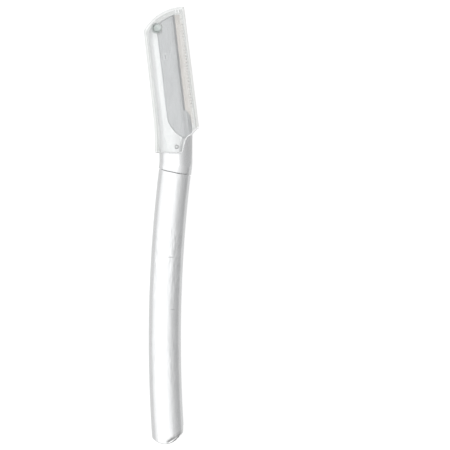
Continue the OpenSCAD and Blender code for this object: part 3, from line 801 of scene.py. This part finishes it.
def cap_object():
    outer = slab(cap_plan(0), -3.6, 4.4)
    round_edges(outer, 0.7, 5)
    inner = slab(cap_plan(0.8), -2.8, 3.6)
    round_edges(inner, 0.3, 3)
    for f in inner.faces:
        f.material_index = 2
    mats = [mat_clear, mat_rim, mat_inner, mat_wall]
    ob = new_object("clear_cap", outer, mats, smooth=False)
    boolean(ob, new_object("cut_inner", inner, mats, smooth=False))
    for u0, u1, v0, v1, z0, z1 in CAP_RIBS:
        rib = slab([(u0, v0), (u1, v0), (u1, v1), (u0, v1)], z0, z1)
        round_edges(rib, 0.06, 2)
        for f in rib.faces:
            f.material_index = 2
        boolean(ob, new_object("rib", rib, mats, smooth=False), "UNION")
    mouth = slab(MOUTH_LINE + MOUTH[17:], -6, 6)
    bmesh.ops.recalc_face_normals(mouth, faces=mouth.faces)
    boolean(ob, new_object("cut_mouth", mouth, smooth=False))
    bm = bmesh.new()
    bm.from_mesh(ob.data)
    bmesh.ops.remove_doubles(bm, verts=bm.verts, dist=0.002)
    bmesh.ops.dissolve_limit(bm, angle_limit=math.radians(0.2), verts=bm.verts, edges=bm.edges)
    for f in bm.faces:          # the rim of the mouth
        c = f.calc_center_median()
        if near_line(c.x, c.y, MOUTH_LINE) < 0.004 and abs(f.normal.z) < 0.1:
            f.material_index = 1
    rim = {e for f in bm.faces if f.material_index == 1 for e in f.edges if {g.material_index for g in e.link_faces} == {0, 1}}
    bmesh.ops.bevel(bm, geom=list(rim), offset=0.24, offset_type="OFFSET", segments=3, profile=0.5, affect="EDGES",
                    clamp_overlap=True, material=1)
    for f in bm.faces:          # the upright walls
        if f.material_index != 1 and abs(f.normal.z) < 0.35:
            f.material_index = 3
    bmesh.ops.transform(bm, matrix=HEAD_M, verts=bm.verts)
    bmesh.ops.recalc_face_normals(bm, faces=bm.faces)
    bm.to_mesh(ob.data)
    bm.free()
    for p in ob.data.polygons:
        p.use_smooth = True
    ob.data.set_sharp_from_angle(angle=math.radians(40))
    wn = ob.modifiers.new("normals", "WEIGHTED_NORMAL")
    wn.keep_sharp = True
    wn.weight = 60
    apply_modifiers(ob)
    return ob


cap = cap_object()
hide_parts("protective_cap")
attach(cap, "cap")

# ---------------------------------------------------------------- pieces with worked edges
def true_normals(ob, src, strip):
    """Gives the faces of a worked copy the exact surface normals of the CAD mesh; faces whose material index is strip are the
    broken edges, which blend between the faces beside them."""
    src.calc_loop_triangles()
    corner = [Vector(c.vector) for c in src.corner_normals]
    verts = [Vector(v.co) for v in src.vertices]
    tris = [(tuple(t.vertices), tuple(t.loops)) for t in src.loop_triangles]
    tree = BVHTree.FromPolygons(verts, [t[0] for t in tris])
    me = ob.data
    new = [Vector(c.vector) for c in me.corner_normals]
    at_vert = {}
    for p in me.polygons:
        if p.material_index == strip:
            continue
        mid = Vector(p.center)
        for li in p.loop_indices:
            vi = me.loops[li].vertex_index
            co = Vector(me.vertices[vi].co)
            best = None
            for loc, nor, ti, dist in tree.find_nearest_range(co.lerp(mid, 0.01), 0.00004):
                vs, ls = tris[ti]
                a, b, c = (verts[i] for i in vs)
                n0 = (b - a).cross(c - a)
                if n0.length < 1e-16 or n0.normalized().dot(p.normal) < 0.9:
                    continue
                w = [((b - loc).cross(c - loc)).dot(n0), ((c - loc).cross(a - loc)).dot(n0), ((a - loc).cross(b - loc)).dot(n0)]
                w = [max(x, 0.0) for x in w]
                tot = sum(w)
                if tot <= 0:
                    continue
                n = sum((corner[l] * (x / tot) for l, x in zip(ls, w)), Vector())
                if n.length > 0.5 and n.normalized().dot(p.normal) > 0.85 and (best is None or dist < best[0]):
                    best = (dist, n.normalized())
            new[li] = best[1] if best else Vector(p.normal)
            at_vert.setdefault(vi, []).append(new[li])
    for p in me.polygons:
        if p.material_index == strip:
            for li in p.loop_indices:
                near = at_vert.get(me.loops[li].vertex_index)
                if near:
                    own = new[li]
                    new[li] = max(near, key=lambda n: n.dot(own))
            p.material_index = 0
    me.normals_split_custom_set([tuple(n) for n in new])


def worked_copy(node, name, mat, width, body, segments=2, limit=32):
    """A copy of a node's mesh whose sharp edges are broken, as on a cast, stamped or coined piece; it replaces the node."""
    bm = bmesh.new()
    bm.from_mesh(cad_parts[node].data)
    bmesh.ops.remove_doubles(bm, verts=bm.verts, dist=0.0000015)
    bmesh.ops.dissolve_limit(bm, angle_limit=math.radians(0.6), verts=bm.verts, edges=bm.edges)
    ob = new_object(name, bm, [mat], angle=limit)
    bev = ob.modifiers.new("edges", "BEVEL")
    bev.width = width * MM
    bev.segments = segments
    bev.limit_method = "ANGLE"
    bev.angle_limit = math.radians(limit)
    bev.use_clamp_overlap = True
    bev.miter_outer = "MITER_ARC"
    bev.harden_normals = True
    bev.material = 1
    ob.data.materials.append(mat)
    apply_modifiers(ob)
    true_normals(ob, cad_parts[node].data, 1)
    ob.data.materials.pop(index=1)
    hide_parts(node)
    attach(ob, body)
    return ob


cover = worked_copy("spine_cover", "spine_cover_plate", mat_cover, 0.045, "razor")
flap = worked_copy("clamp_flap", "clamp_flap_panel", mat_flap, 0.035, "flap", limit=17)
head = worked_copy("head_body", "head_casting", mat_head, 0.05, "razor")


def lathe(name, profile, centre, mat, node, n=72):
    """A turned piece in the head's frame, from (radius, height) points that run from the axis at the back to the axis in front."""
    bm = bmesh.new()
    rings = []
    for r, z in profile:
        if r < 1e-6:
            rings.append([bm.verts.new(head_to_world(centre[0], centre[1], z))])
        else:
            rings.append([bm.verts.new(head_to_world(centre[0] + r * math.cos(2 * math.pi * i / n),
                                                     centre[1] + r * math.sin(2 * math.pi * i / n), z)) for i in range(n)])
    for a, b in zip(rings, rings[1:]):
        for i in range(n):
            j = (i + 1) % n
            if len(a) == 1:
                bm.faces.new((a[0], b[j], b[i]))
            elif len(b) == 1:
                bm.faces.new((a[i], a[j], b[0]))
            else:
                bm.faces.new((a[i], a[j], b[j], b[i]))
    bmesh.ops.recalc_face_normals(bm, faces=bm.faces)
    ob = new_object(name, bm, [mat], angle=50)
    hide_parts(node)
    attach(ob, "razor")
    return ob


TOE_R = (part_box("toe_rivet")[1][0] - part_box("toe_rivet")[0][0]) / 2 / MM
lathe("toe_rivet_cup", [(0, -2.47), (0.80, -2.48), (0.98, -2.46), (1.06, -2.38), (1.08, -2.26), (1.04, -2.18), (0.96, -2.16),
                        (0.6, -2.16), (0.6, 2.31), (TOE_R - 0.06, 2.31), (TOE_R - 0.01, 2.34), (TOE_R, 2.42), (TOE_R - 0.02, 2.52),
                        (TOE_R - 0.08, 2.61), (TOE_R - 0.18, 2.68), (TOE_R - 0.29, 2.70), (TOE_R - 0.38, 2.68),
                        (TOE_R - 0.48, 2.61), (TOE_R - 0.58, 2.52), (TOE_R - 0.72, 2.44), (TOE_R - 1.0, 2.385),
                        (0.35, 2.365), (0, 2.36)],
      (-2.1, 37.6), mat_rivet, "toe_rivet")
lathe("neck_rivet_dome", [(0, -2.47), (0.66, -2.48), (0.82, -2.46), (0.88, -2.38), (0.90, -2.26), (0.86, -2.18), (0.78, -2.16),
                          (0.5, -2.16), (0.5, 2.77), (0.62, 2.77), (0.68, 2.80), (0.70, 2.87), (0.68, 2.95), (0.60, 3.04),
                          (0.46, 3.10), (0.26, 3.14), (0.10, 3.15), (0, 3.15)],
      (0.11, -3.8), mat_rivet2, "neck_rivet")

# ---------------------------------------------------------------- carried-over CAD nodes
LOOK = {"hinge_pin": mat_pin, "tang_pin": mat_pin, "locating_pins": mat_pin, "clamp_spring": mat_spring, "blade": mat_blade,
        "edge_guard": mat_guard, "end_plug": mat_plug}
for node, mat in LOOK.items():
    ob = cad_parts[node]
    for s in ob.material_slots:
        s.material = mat

# ---------------------------------------------------------------- floor
fbm = bmesh.new()
bmesh.ops.create_grid(fbm, x_segments=2, y_segments=2, size=1.5)
bmesh.ops.translate(fbm, verts=fbm.verts, vec=(0, 0, -0.00003))
fm = Mat("pale_floor")
fn = fm.noise(fm.coords(scale=(1, 1, 1)), 3.0, 2, 0.5)
fm.wire(fm.mix(fn, (0.18, 0.18, 0.18), (0.20, 0.20, 0.20)), fm.bsdf.inputs["Base Color"])
fm.put(Roughness=0.9, Emission_Strength=0.87)
fm.bsdf.inputs["Emission Color"].default_value = (1, 1, 1, 1)
fm.bsdf.inputs["Specular IOR Level"].default_value = 0.0
floor = new_object("floor", fbm, [fm.m], smooth=False)
